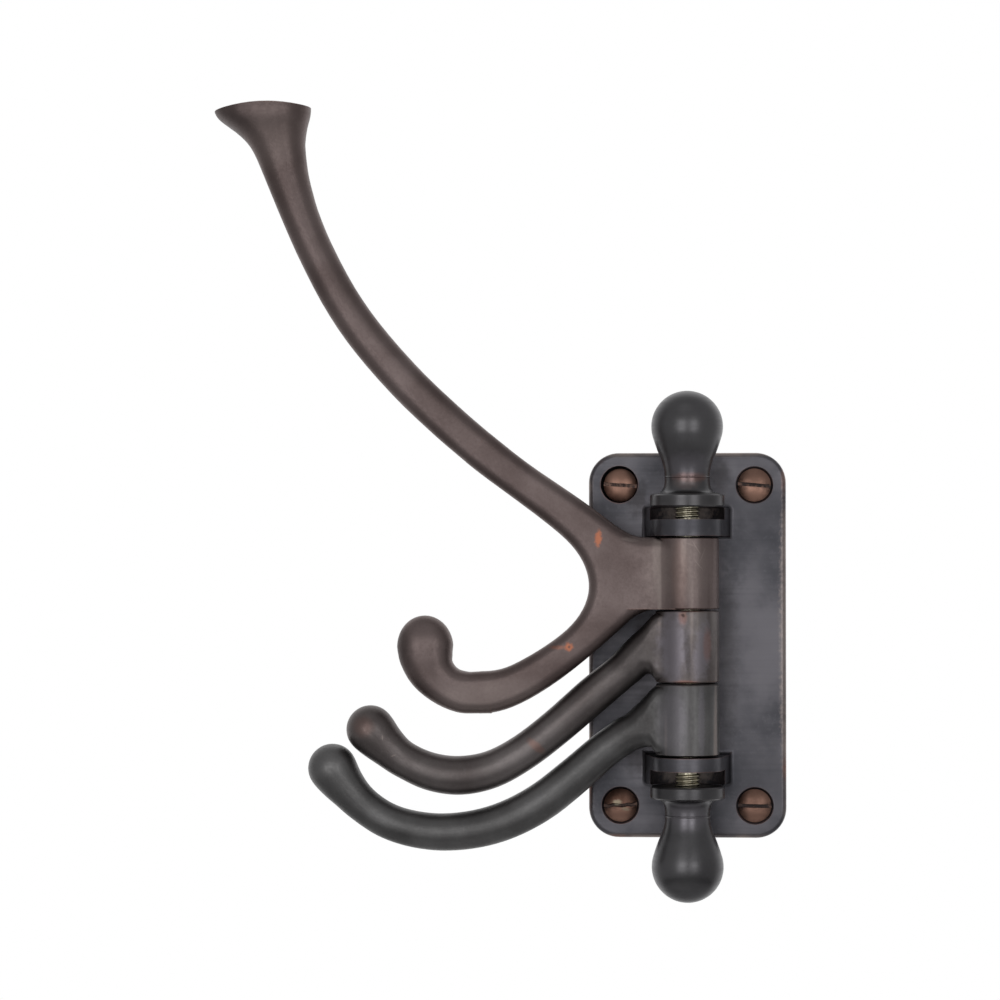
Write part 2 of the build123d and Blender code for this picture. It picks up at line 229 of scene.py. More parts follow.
def mottle(tree, place, size, stretch=(1.0, 1.0, 1.0), detail=3.0):
    """Cloudy pattern with patches of that size in metres, drawn out where stretch is small."""
    drawn = add_node(tree, "ShaderNodeMapping", {"Vector": place, "Scale": stretch})
    return add_node(tree, "ShaderNodeTexNoise", {"Vector": drawn, "Scale": 1.0 / size, "Detail": detail})


def blot(tree, place, centre, reach, strength, lean):
    """Share of a soft mark, with its centre and half sizes in mm. The stronger it is, the more ragged."""
    noise = mottle(tree, place, 0.4 * min(reach[0], reach[2]) * MM + 0.3 * MM)
    bite = RAGGED * strength
    ragged = add_node(tree, inputs=(noise, 0.3, 0.7, -bite, bite), **RANGE)
    local = add_node(tree, "ShaderNodeMapping", {
        "Vector": place, "Location": [c * MM for c in centre],
        "Rotation": (0.0, radians(lean), 0.0), "Scale": [r * MM for r in reach],
    }, vector_type="TEXTURE")
    far = add_node(tree, "ShaderNodeVectorMath", {0: local}, output="Value", operation="LENGTH")
    rough = add_node(tree, "ShaderNodeMath", (far, ragged), operation="ADD")
    return add_node(tree, inputs=(rough, MARK_OUTER, MARK_INNER, 0.0, strength), **RANGE)


def worn_rim(tree, place, half_sizes):
    """Share of a patchy band inside the outline of a plate in XZ with those half sizes."""
    folded = add_node(tree, "ShaderNodeVectorMath", {0: place}, operation="ABSOLUTE")
    sides = []
    for axis, half in zip("XZ", half_sizes):
        off_centre = add_node(tree, "ShaderNodeSeparateXYZ", (folded,), output=axis)
        sides.append(add_node(tree, inputs=(off_centre, half - RIM_BAND, half), **RANGE))
    band = add_node(tree, inputs=sides, **LARGER)
    patchy = add_node(tree, inputs=(mottle(tree, place, RIM_PATCH), 0.4, 0.6, 0.25, 1.0), **RANGE)
    return add_node(tree, inputs=(band, patchy), **TIMES)


# Rubbed bronze: cast brass, linished, darkened in a patina bath, waxed and handled. To the eye it
# is a satin metal, nearly black, faintly cloudy, with dark corners and copper on its rubbed edges.
def rubbed_bronze(name, low, high, tint, gloss=0.42, hairs=0.1, along=(1.0, 1.0, 1.0), wear=0.3,
                  streaks=0.0, corners=SMALL_CORNER, dirt_and_shade=0.6, rim=None, marks=()):
    """Patinated metal. A mark is a centre and half sizes in mm, a colour, a strength and a lean."""
    material = bpy.data.materials.new(name)
    material.use_nodes = True
    tree = material.node_tree
    tree.nodes.clear()
    place = add_node(tree, "ShaderNodeTexCoord", output="Object")

    # Clouds a centimetre or two across, the grain of the casting, and hairlines of the linishing belt
    clouds = add_node(tree, inputs=(mottle(tree, place, CLOUD), 0.27, 0.73), **RANGE)
    colour = add_node(tree, inputs={0: clouds, 6: opaque(low), 7: opaque(high)}, **MIX)
    grain = mottle(tree, place, GRAIN, detail=2.0)
    fine = add_node(tree, inputs=(grain, 0.5, 0.8, 0.0, 0.22), **RANGE)
    colour = add_node(tree, inputs={0: fine, 6: colour, 7: opaque(high)}, **MIX)
    brushed = mottle(tree, place, HAIRLINE, stretch=along, detail=2.0)
    drawn = add_node(tree, inputs=(brushed, 0.45, 0.75, 0.0, hairs), **RANGE)
    colour = add_node(tree, inputs={0: drawn, 6: colour, 7: opaque(low)}, **MIX)

    # Upright streaks where a knuckle was turned and rubbed, round the pin
    if streaks:
        spot = add_node(tree, "ShaderNodeMapping", {
            "Vector": place, "Location": (0.0, -PIN_Y, 0.0), "Scale": (1.0, 1.0, 0.0),
        })
        apart = add_node(tree, "ShaderNodeVectorMath", {0: spot}, output="Value", operation="LENGTH")
        near = add_node(tree, inputs=(apart, KNUCKLE_FADE, KNUCKLE_SKIN, 0.0, streaks), **RANGE)
        bands = mottle(tree, place, KNUCKLE_STREAK, stretch=(1.0, 1.0, STREAK_SHORTENED), detail=2.0)
        for shade, start, end in ((low, 0.5, 0.68), (tint.scuff_and_highlight, 0.46, 0.3)):
            band = add_node(tree, inputs=(bands, start, end), **RANGE)
            share = add_node(tree, inputs=(band, near), **TIMES)
            colour = add_node(tree, inputs={0: share, 6: colour, 7: opaque(shade)}, **MIX)

    # Copper where the surface turns at an edge, patchily, then the plate's rubbed rim
    eased = add_node(tree, "ShaderNodeBevel", {"Radius": WORN_EDGE}, samples=6)
    facing = add_node(tree, "ShaderNodeNewGeometry", output="Normal")
    turn = add_node(
        tree, "ShaderNodeVectorMath", (eased, facing), output="Value", operation="DOT_PRODUCT",
    )
    edge = add_node(tree, inputs=(turn, 0.99, 0.9), **RANGE)
    patches = mottle(tree, place, WEAR_PATCH)
    patchy = add_node(tree, inputs=(patches, 0.36, 0.64, 0.35 * wear, wear), **RANGE)
    worn = add_node(tree, inputs=(edge, patchy), **TIMES)
    colour = add_node(tree, inputs={0: worn, 6: colour, 7: opaque(tint.copper)}, **MIX)
    if rim:
        band = worn_rim(tree, place, rim)
        colour = add_node(tree, inputs={0: band, 6: colour, 7: opaque(tint.scuff_and_highlight)}, **MIX)

    # Old wax and dirt, and painted shade, where little of the room is open to the surface
    open_share = add_node(
        tree, "ShaderNodeAmbientOcclusion", {"Distance": corners}, output="AO", samples=8,
    )
    corner = add_node(tree, inputs=(open_share, 0.75, 0.2, 0.0, dirt_and_shade), **RANGE)
    colour = add_node(tree, inputs={0: corner, 6: colour, 7: opaque(tint.grime_and_shade)}, **MIX)

    # Marks: real nicks, wear and scratches, and painted highlights, painted light and painted shade
    for centre, reach, shade, strength, lean in marks:
        share = blot(tree, place, centre, reach, strength, lean)
        colour = add_node(tree, inputs={0: share, 6: colour, 7: opaque(shade)}, **MIX)

    # The hairlines break up the gloss and dent the surface
    shine = add_node(tree, inputs=(brushed, 0.3, 0.7, gloss - 0.03, gloss + 0.04), **RANGE)
    relief = add_node(tree, "ShaderNodeBump", {
        "Height": brushed, "Strength": hairs, "Distance": HAIRLINE_DEPTH,
    })
    shader = add_node(tree, "ShaderNodeBsdfPrincipled", {
        "Base Color": colour, "Metallic": 1.0, "Roughness": shine, "Normal": relief,
    })
    add_node(tree, "ShaderNodeOutputMaterial", {"Surface": shader})
    return material


def smooth_surface(obj):
    """Shades a CAD casting as smooth, apart from its sharp edges."""
    group = bpy.data.node_groups.get("smooth_casting")
    if group is None:
        group = bpy.data.node_groups.new("smooth_casting", "GeometryNodeTree")
        for way in ("INPUT", "OUTPUT"):
            group.interface.new_socket("Geometry", in_out=way, socket_type="NodeSocketGeometry")
        shape = add_node(group, "NodeGroupInput")
        shape = add_node(group, "GeometryNodeMergeByDistance", {
            "Geometry": shape, "Distance": CASTING_SEAM,
        })
        shape = add_node(group, "GeometryNodeRemoveAttribute", {
            "Geometry": shape, "Name": "custom_normal",
        })
        shape = add_node(group, "GeometryNodeSetShadeSmooth", {"Geometry": shape}, domain="FACE")
        angle = add_node(group, "GeometryNodeInputMeshEdgeAngle", output="Unsigned Angle")
        steep = add_node(group, "FunctionNodeCompare", (angle, SHARP_EDGE), operation="GREATER_THAN")
        shape = add_node(group, "GeometryNodeSetShadeSmooth", {
            "Geometry": shape, "Selection": steep, "Shade Smooth": False,
        }, domain="EDGE")
        add_node(group, "NodeGroupOutput", (shape,))
    modifier = obj.modifiers.new("smooth_casting", "NODES")
    modifier.node_group = group


def finish_node(name, material):
    """Gives a CAD node its finish."""
    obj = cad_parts[name]
    obj.data.materials.clear()
    obj.data.materials.append(material)
    smooth_surface(obj)


def new_piece(name, bm, material):
    """A finished piece at the origin, from a bmesh."""
    bmesh.ops.recalc_face_normals(bm, faces=bm.faces)
    mesh = bpy.data.meshes.new(name)
    bm.to_mesh(mesh)
    bm.free()
    piece = bpy.data.objects.new(name, mesh)
    piece.data.materials.append(material)
    bpy.context.scene.collection.objects.link(piece)
    return piece


def turned(bm, outline, steps):
    """Turns an outline of radius and height, both ends on the axis, about Z."""
    verts = [bm.verts.new((r, 0, z)) for r, z in outline]
    edges = [bm.edges.new(pair) for pair in zip(verts, verts[1:])]
    bmesh.ops.spin(
        bm, geom=verts + edges, cent=(0, 0, 0), axis=(0, 0, 1), angle=2 * pi,
        steps=steps, use_merge=True,
    )
    bmesh.ops.remove_doubles(bm, verts=bm.verts, dist=TURNED_SEAM)


def ridge(bm, start, end, pitch, root, crest, steps, taper=None):
    """Winds a closed ridge of a screw thread about Z, its foot sunk a little into the core."""
    foot = root - THREAD_FOOT
    turns = (end - start) / pitch - 1
    section = zip((foot, crest, crest, foot), THREAD_FORM)
    verts = [bm.verts.new((r, 0, start + share * pitch)) for r, share in section]
    face = bm.faces.new(verts)
    count = round(turns * steps)
    bmesh.ops.spin(
        bm, geom=[face], cent=(0, 0, 0), axis=(0, 0, 1), angle=2 * pi * turns,
        steps=count, dvec=(0, 0, turns * pitch / count),
    )
    if taper:
        for vert in {v for f in bm.faces for v in f.verts}:
            reach = sqrt(vert.co.x ** 2 + vert.co.y ** 2)
            if reach > 0 and vert.co.z > taper[0]:
                share = max(0.0, 1 - (vert.co.z - taper[0]) / (taper[1] - taper[0]))
                vert.co.x *= share
                vert.co.y *= share


class COATHOOK_OT_castings(bpy.types.Operator):
    """Finish the plate, the finials and the three hooks in rubbed bronze"""

    bl_idname = "coat_hook.castings"
    bl_label = "Finish the castings"

    def execute(self, context):
        tint = context.scene.hook_colours
        low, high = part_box("backplate")
        plate = rubbed_bronze(
            "rubbed_bronze_plate", tint.plate_low, tint.plate_high, tint, gloss=0.4, hairs=0.12,
            along=(0.03, 1.0, 1.0), wear=0.35, corners=PLATE_CORNER,
            rim=((high.x - low.x) / 2, (high.z - low.z) / 2), marks=self.plate_marks(tint),
        )
        finial = rubbed_bronze(
            "rubbed_bronze_turned", tint.turned_low, tint.turned_high, tint, gloss=0.34,
            along=(0.05, 0.05, 1.0), wear=0.06, marks=self.finial_marks(tint),
        )
        brown = rubbed_bronze(
            "rubbed_bronze_brown", tint.brown_low, tint.brown_high, tint, gloss=0.46, wear=0.35,
            streaks=0.5, marks=self.top_marks(tint),
        )
        grey = rubbed_bronze(
            "rubbed_bronze_grey", tint.grey_low, tint.grey_high, tint, gloss=0.44, wear=0.45,
            streaks=0.8, marks=self.middle_marks(tint),
        )
        black = rubbed_bronze(
            "rubbed_bronze_black", tint.black_low, tint.black_high, tint, gloss=0.45, wear=0.25,
            streaks=0.6, marks=self.bottom_marks(tint),
        )
        finish_node("backplate", plate)
        finish_node("top_finial", finial)
        finish_node("bottom_finial", finial)
        finish_node("top_hook", brown)
        finish_node("middle_hook", grey)
        finish_node("bottom_hook", black)
        return {"FINISHED"}

    def plate_marks(self, tint):
        """Painted highlight and shade, worn edges and painted shadow of the plate."""
        return [
            # Painted highlight beside the knuckles, with painted shade over it
            ((19.5, ABOVE_PLATE, -1.0), (13.0, 4.0, 17.0), tint.plate_high, 0.85, 0.0),
            ((19.5, ABOVE_PLATE, 37.0), (14.0, 4.0, 10.0), tint.plate_low, 0.6, 0.0),
            # Edges worn to copper and pale metal
            ((-24.6, ABOVE_PLATE, 48.0), (5.0, 4.0, 2.2), tint.copper, 0.35, -35.0),
            ((25.0, ABOVE_PLATE, 44.0), (1.0, 4.0, 6.0), tint.copper, 0.4, 0.0),
            ((25.2, ABOVE_PLATE, 3.0), (1.7, 4.0, 42.0), tint.scuff_and_highlight, 0.7, 0.0),
            ((25.2, ABOVE_PLATE, -32.0), (0.9, 4.0, 4.0), tint.copper, 0.6, 0.0),
            ((-20.0, ABOVE_PLATE, -49.6), (7.0, 4.0, 0.8), tint.copper, 0.55, 0.0),
            ((-25.3, ABOVE_PLATE, -36.0), (0.8, 4.0, 9.0), tint.copper, 0.4, 0.0),
            # A darker upper lug, and painted light in the shaded gaps behind the bare threads
            ((0.0, -22.0, 31.5), (13.0, 16.0, 5.0), tint.plate_low, 0.7, 0.0),
            ((0.0, ABOVE_PLATE, 34.1), (9.0, 4.0, 2.4), tint.scuff_and_highlight, 1.0, 0.0),
            ((0.0, ABOVE_PLATE, -33.3), (9.0, 4.0, 2.4), tint.scuff_and_highlight, 0.9, 0.0),
            # Painted shadow along the knuckles, painted shade under the highlight, under the arms, beside
            # the lugs and beside the top neck
            ((10.0, ABOVE_PLATE, 0.0), (4.0, 4.0, 32.0), tint.grime_and_shade, 0.4, 0.0),
            ((19.5, ABOVE_PLATE, -34.0), (13.0, 4.0, 9.0), tint.plate_low, 0.45, 0.0),
            ((-9.5, ABOVE_PLATE, 3.0), (5.0, 4.0, 7.0), tint.grime_and_shade, 0.7, 0.0),
            ((-9.5, ABOVE_PLATE, -15.5), (5.0, 4.0, 6.0), tint.grime_and_shade, 0.5, 0.0),
            ((12.8, ABOVE_PLATE, 23.0), (4.0, 4.0, 9.0), tint.plate_low, 0.6, 0.0),
            ((-12.8, ABOVE_PLATE, -29.5), (3.8, 4.0, 5.0), tint.grime_and_shade, 0.5, 0.0),
            ((-13.2, ABOVE_PLATE, 38.0), (3.4, 4.0, 6.0), tint.grime_and_shade, 0.55, 0.0),
            ((8.6, ABOVE_PLATE, 43.6), (3.4, 4.0, 5.0), tint.grime_and_shade, 0.5, 0.0),
        ]

    def finial_marks(self, tint):
        """Copper on the upper neck, painted highlights on the necks and a darkened collar."""
        return [
            ((0.8, NECKS, 43.0), (5.4, 4.0, 1.4), tint.copper, 0.36, 0.0),
            ((-0.4, NECKS, 41.4), (3.8, 3.0, 1.6), tint.brown_high, 0.45, 0.0),
            # Painted highlights on the fronts of both necks
            ((0.0, NECKS, 46.0), (7.0, 4.0, 4.0), tint.rubbed, 0.25, 0.0),
            ((0.0, NECKS, -43.0), (7.0, 4.0, 4.0), tint.rubbed, 0.25, 0.0),
            ((0.0, NECKS - 3.0, 36.9), (11.0, 5.0, 1.6), tint.grime_and_shade, 0.25, 0.0),
        ]

    def top_marks(self, tint):
        """Fresh nicks, scratches and worn places of the top hook, with its painted highlights and shade.
        """
        return [
            # Nick on the fork, ring and smear on the lower arm
            ((-22.6, ARMS, 27.5), (0.95, 3.0, 2.1), tint.bright, 0.65, 4.0),
            ((-30.1, ARMS, -0.1), (1.15, 3.0, 1.1), tint.bright, 0.65, 0.0),
            ((-30.0, ARMS, -0.1), (0.4, 3.0, 0.4), tint.brown_low, 0.7, 0.0),
            ((-32.9, ARMS, -0.2), (2.2, 3.0, 0.6), tint.copper, 0.6, 0.0),
            # Scuff on the fork's upper edge and scratches on the knuckle
            ((-14.5, ARMS, 27.2), (2.4, 3.5, 0.6), tint.scuff_and_highlight, 0.35, 8.0),
            ((2.4, KNUCKLES, 25.0), (0.17, 2.0, 2.4), tint.scuff_and_highlight, 0.4, -32.0),
            ((4.0, KNUCKLES, 23.6), (0.15, 2.0, 2.6), tint.scuff_and_highlight, 0.35, 22.0),
            ((3.0, KNUCKLES, 20.6), (0.15, 2.0, 2.0), tint.scuff_and_highlight, 0.3, -40.0),
            ((0.6, KNUCKLES, 26.0), (1.6, 2.0, 0.2), tint.scuff_and_highlight, 0.3, 20.0),
            ((-2.0, KNUCKLES, 19.0), (2.4, 3.5, 10.0), tint.copper, 0.14, 0.0),
            # Painted shade on the bulb's left side, a painted highlight on the cradle, painted shade on
            # the hat end's beak and its worn rim
            ((-74.4, ARMS, 2.0), (3.4, 8.0, 12.0), tint.grime_and_shade, 0.4, -8.0),
            ((-52.0, ARMS, -13.5), (16.0, 8.0, 5.0), tint.scuff_and_highlight, 0.22, -8.0),
            ((-116.0, PIN_AXIS, 137.0), (9.0, 12.0, 7.0), tint.grime_and_shade, 0.4, 30.0),
            ((-103.0, PIN_AXIS, 139.9), (13.0, 9.0, 0.8), tint.copper, 0.35, 0.0),
            # Painted highlights on the knuckle, in its hollow and on the hat end's front
            ((0.0, KNUCKLES, 20.0), (7.5, 5.0, 10.0), tint.scuff_and_highlight, 0.2, 0.0),
            ((-8.0, KNUCKLES + 2.0, 19.0), (3.4, 5.0, 9.0), tint.scuff_and_highlight, 0.18, 0.0),
            ((-106.0, KNUCKLES + 3.0, 131.0), (7.0, 8.0, 9.0), tint.scuff_and_highlight, 0.14, 0.0),
        ]

    def middle_marks(self, tint):
        """Painted highlights and shade on the knuckle and root, copper and scratches of the middle hook.
        """
        return [
            # Two painted highlights with a painted dark line between, and painted shade at the root
            ((-4.0, KNUCKLES, 0.0), (4.6, 5.0, 12.0), tint.rubbed, 0.6, 0.0),
            ((4.0, KNUCKLES, -1.0), (2.6, 4.0, 9.0), tint.rubbed, 0.55, 6.0),
            ((0.0, KNUCKLES, -1.5), (0.9, 4.0, 7.0), tint.grime_and_shade, 0.35, -4.0),
            ((-14.5, ARMS, -1.0), (8.0, 8.0, 8.0), tint.grime_and_shade, 0.5, 0.0),
            # Pit with copper round it, and copper at the knuckle's ends and right side
            ((-1.2, KNUCKLES, 7.4), (1.3, 2.0, 2.0), tint.copper, 0.4, 0.0),
            ((-1.1, KNUCKLES, 8.0), (0.5, 2.0, 0.5), tint.grime_and_shade, 0.7, 0.0),
            ((1.4, KNUCKLES, 9.3), (3.6, 3.0, 0.35), tint.copper, 0.7, 0.0),
            ((-0.5, KNUCKLES, -8.9), (3.8, 3.0, 0.6), tint.copper, 0.5, 0.0),
            ((5.0, KNUCKLES + 2.0, 0.5), (1.2, 3.0, 4.5), tint.copper, 0.35, 0.0),
            # Copper on the arm and the bulb, and two short scratches
            ((-38.4, ARMS, -25.4), (3.2, 3.0, 1.2), tint.copper, 0.35, 40.0),
            ((-77.6, ARMS, -23.2), (0.2, 4.0, 0.8), tint.scuff_and_highlight, 0.4, 0.0),
            ((-74.8, ARMS, -27.8), (0.8, 4.0, 0.2), tint.scuff_and_highlight, 0.4, -20.0),
            ((-82.5, ARMS, -20.5), (3.0, 5.0, 3.0), tint.copper, 0.2, 0.0),
        ]

    def bottom_marks(self, tint):
        """Painted highlights and a painted dark band on the bottom hook's knuckle, and painted shade at
        its root.
        """
        return [
            ((-4.0, KNUCKLES, -19.0), (4.6, 5.0, 11.0), tint.rubbed, 0.35, 0.0),
            ((-14.5, ARMS, -19.0), (8.0, 8.0, 8.0), tint.grime_and_shade, 0.5, 0.0),
            ((3.6, KNUCKLES, -19.0), (1.0, 4.0, 11.0), tint.rubbed, 0.35, 0.0),
            ((0.9, KNUCKLES, -19.0), (1.0, 4.0, 11.0), tint.grime_and_shade, 0.3, 0.0),
        ]


class COATHOOK_OT_pin(bpy.types.Operator):
    """Turn the pin with a thread at each end"""

    bl_idname = "coat_hook.pin"
    bl_label = "Make the threaded pin"

    def execute(self, context):
        size, tint = context.scene.hook_sizes, context.scene.hook_colours
        # Raw brass, turned and left bare: pale yellow, brighter than the patina, dull in the thread
        brass = rubbed_bronze(
            "raw_brass_turned", tint.brass_low, tint.brass, tint, gloss=0.3, wear=0.15,
        )
        root = PIN_R - size.pin_thread_depth
        end, plain = pin_high.z, pin_high.z - size.pin_thread_length
        ease = size.pin_thread_depth
        upper = [
            (0, end), (root - ease, end), (root, end - ease), (root, plain), (PIN_R, plain - ease),
        ]
        bm = bmesh.new()
        turned(bm, upper + [(r, -z) for r, z in reversed(upper)], PIN_STEPS)
        ridge(bm, plain, end - ease, size.pin_pitch, root, PIN_R, PIN_THREAD_STEPS)
        ridge(bm, -end + ease, -plain, size.pin_pitch, root, PIN_R, PIN_THREAD_STEPS)
        bmesh.ops.translate(bm, verts=bm.verts, vec=(0, PIN_Y, 0))
        pin = new_piece("threaded_pin", bm, brass)
        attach(pin, "bracket")
        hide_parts("pivot_pin")
        return {"FINISHED"}


class COATHOOK_OT_screws(bpy.types.Operator):
    """Turn the four slotted wood screws and seat them in the plate"""

    bl_idname = "coat_hook.screws"
    bl_label = "Make the plate screws"

    def execute(self, context):
        size, tint = context.scene.hook_sizes, context.scene.hook_colours
        low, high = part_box("plate_screws")
        across = (high.x - low.x) / 2 - size.head
        up = (high.z - low.z) / 2 - size.head
        rim = low.y + size.crown
        deeper = high.y - low.y - size.screw_length - size.crown

        # Place of each screw with its rim's depth, the lean of its slot in degrees and its chewed edge
        places = [
            ("screw_top_left", -across, up, rim + deeper, 4.0, 0.0),
            ("screw_top_right", across, up, rim, 5.0, 0.0),
            ("screw_bottom_left", -across, -up, rim, -3.0, 1.0),
            ("screw_bottom_right", across, -up, rim, 1.0, 0.0),
        ]
        # Bronze-plated steel, rubbed by the screwdriver: warmer and shinier than the castings
        plated = rubbed_bronze(
            "bronzed_screw", tint.screw_low, tint.screw_high, tint, gloss=0.38, wear=0.12, dirt_and_shade=1.0,
            marks=self.screw_marks(tint, low.y / MM),
        )
        for name, x, z, y, slot_angle, chewed in places:
            piece = self.slotted(name, size, plated, slot_angle, chewed)
            piece.data.transform(Matrix.Translation((x, y, z)) @ Matrix.Rotation(-pi / 2, 4, "X"))
            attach(piece, "bracket")
            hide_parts("plate_screws")
        return {"FINISHED"}

    def screw_marks(self, tint, seat):
        """Painted shade in the slots, painted light and bare brass on the heads, whose crowns stand at
        that depth in mm.
        """
        return [
            # Painted light over the top-left head, which sits deeper in shade
            ((-17.35, seat, 41.8), (4.6, 4.0, 4.6), tint.screw_painted_light, 0.35, 0.0),
            # Slots in painted shade: each is centred behind its floor, so that the face beside it stays
            # clean
            ((-17.35, seat + 2.3, 41.45), (8.0, 1.1, 1.6), tint.grime_and_shade, 0.95, 4.0),
            ((17.35, seat + 1.6, 41.45), (8.0, 1.1, 1.6), tint.grime_and_shade, 0.95, 5.0),
            ((-17.35, seat + 1.6, -41.45), (8.0, 1.1, 1.6), tint.grime_and_shade, 0.7, -3.0),
            ((17.35, seat + 1.6, -41.45), (8.0, 1.1, 1.6), tint.grime_and_shade, 0.95, 1.0),
            # Painted light on the lower halves of the heads
            ((17.35, seat, 39.0), (3.8, 4.0, 2.2), tint.screw_painted_light, 0.8, 5.0),
            ((17.35, seat, -43.8), (3.8, 4.0, 2.0), tint.screw_painted_light, 0.55, 1.0),
            ((-17.35, seat, -43.8), (3.8, 4.0, 2.0), tint.screw_painted_light, 0.6, -3.0),
            ((-17.35, seat, 38.9), (3.6, 4.0, 1.8), tint.screw_painted_light, 0.6, 4.0),
            # Yellow metal round the chewed slot
            ((-18.2, seat, -40.7), (1.3, 4.0, 0.8), tint.brass_low, 0.5, -4.0),
            ((-16.0, seat, -42.4), (1.2, 4.0, 0.5), tint.brass_low, 0.4, 12.0),
        ]

    def slotted(self, name, size, material, slot_angle, chewed):
        """One screw along +Z, its head's rim at z = 0 and its crown below."""
        cone_end = size.head_rim + (size.head - size.shank) / COUNTERSINK_SLOPE
        dome_r = (size.head ** 2 + size.crown ** 2) / (2 * size.crown)
        dome = []
        for step in range(DOME_STEPS + 1):
            reach = size.head * step / DOME_STEPS
            dome.append((reach, dome_r - size.crown - sqrt(dome_r ** 2 - reach ** 2)))
        tip = size.screw_length - size.point_length
        outline = dome + [
            (size.head, size.head_rim), (size.shank, cone_end), (size.shank, size.shank_length),
            (size.wood_root, size.shank_length + SHANK_STEP), (size.wood_root, tip),
            (0, size.screw_length),
        ]
        bm = bmesh.new()
        turned(bm, outline, SCREW_STEPS)
        head = new_piece(name, bm, material)

        bm = bmesh.new()
        bmesh.ops.create_cube(bm, size=1.0)
        bmesh.ops.scale(bm, verts=bm.verts, vec=(3 * size.head, size.slot_width, 2 * size.slot_depth))
        bmesh.ops.subdivide_edges(bm, edges=bm.edges, cuts=10, use_grid_fill=True)
        for vert in bm.verts:
            bites = sin(LONG_WAVE * vert.co.x + 1.3) + sin(SHORT_WAVE * vert.co.x + 4 * vert.co.z / MM)
            vert.co.y += chewed * CHEWED * bites
        bmesh.ops.rotate(bm, verts=bm.verts, matrix=Matrix.Rotation(radians(slot_angle), 3, "Z"))
        bmesh.ops.translate(bm, verts=bm.verts, vec=(0, 0, -size.crown))
        cutter = new_piece(name + "_cutter", bm, material)

        cut = head.modifiers.new("slot", "BOOLEAN")
        cut.operation, cut.solver, cut.object = "DIFFERENCE", "EXACT", cutter
        ease = head.modifiers.new("eased", "BEVEL")
        ease.width, ease.segments = size.edge_ease, 2
        ease.limit_method, ease.angle_limit = "ANGLE", EASED_EDGE
        bpy.context.view_layer.update()
        graph = bpy.context.evaluated_depsgraph_get()
        solid = bpy.data.meshes.new_from_object(head.evaluated_get(graph))
        head.modifiers.clear()
        head.data = solid
        bpy.data.objects.remove(cutter)

        bm = bmesh.new()
        ridge(
            bm, size.shank_length + THREAD_START, size.screw_length - THREAD_STOP, size.wood_pitch,
            size.wood_root, size.wood_crest, SCREW_THREAD_STEPS, taper=(tip, size.screw_length),
        )
        bmesh.ops.recalc_face_normals(bm, faces=bm.faces)
        bm.from_mesh(head.data)
        bm.to_mesh(head.data)
        bm.free()
        return head


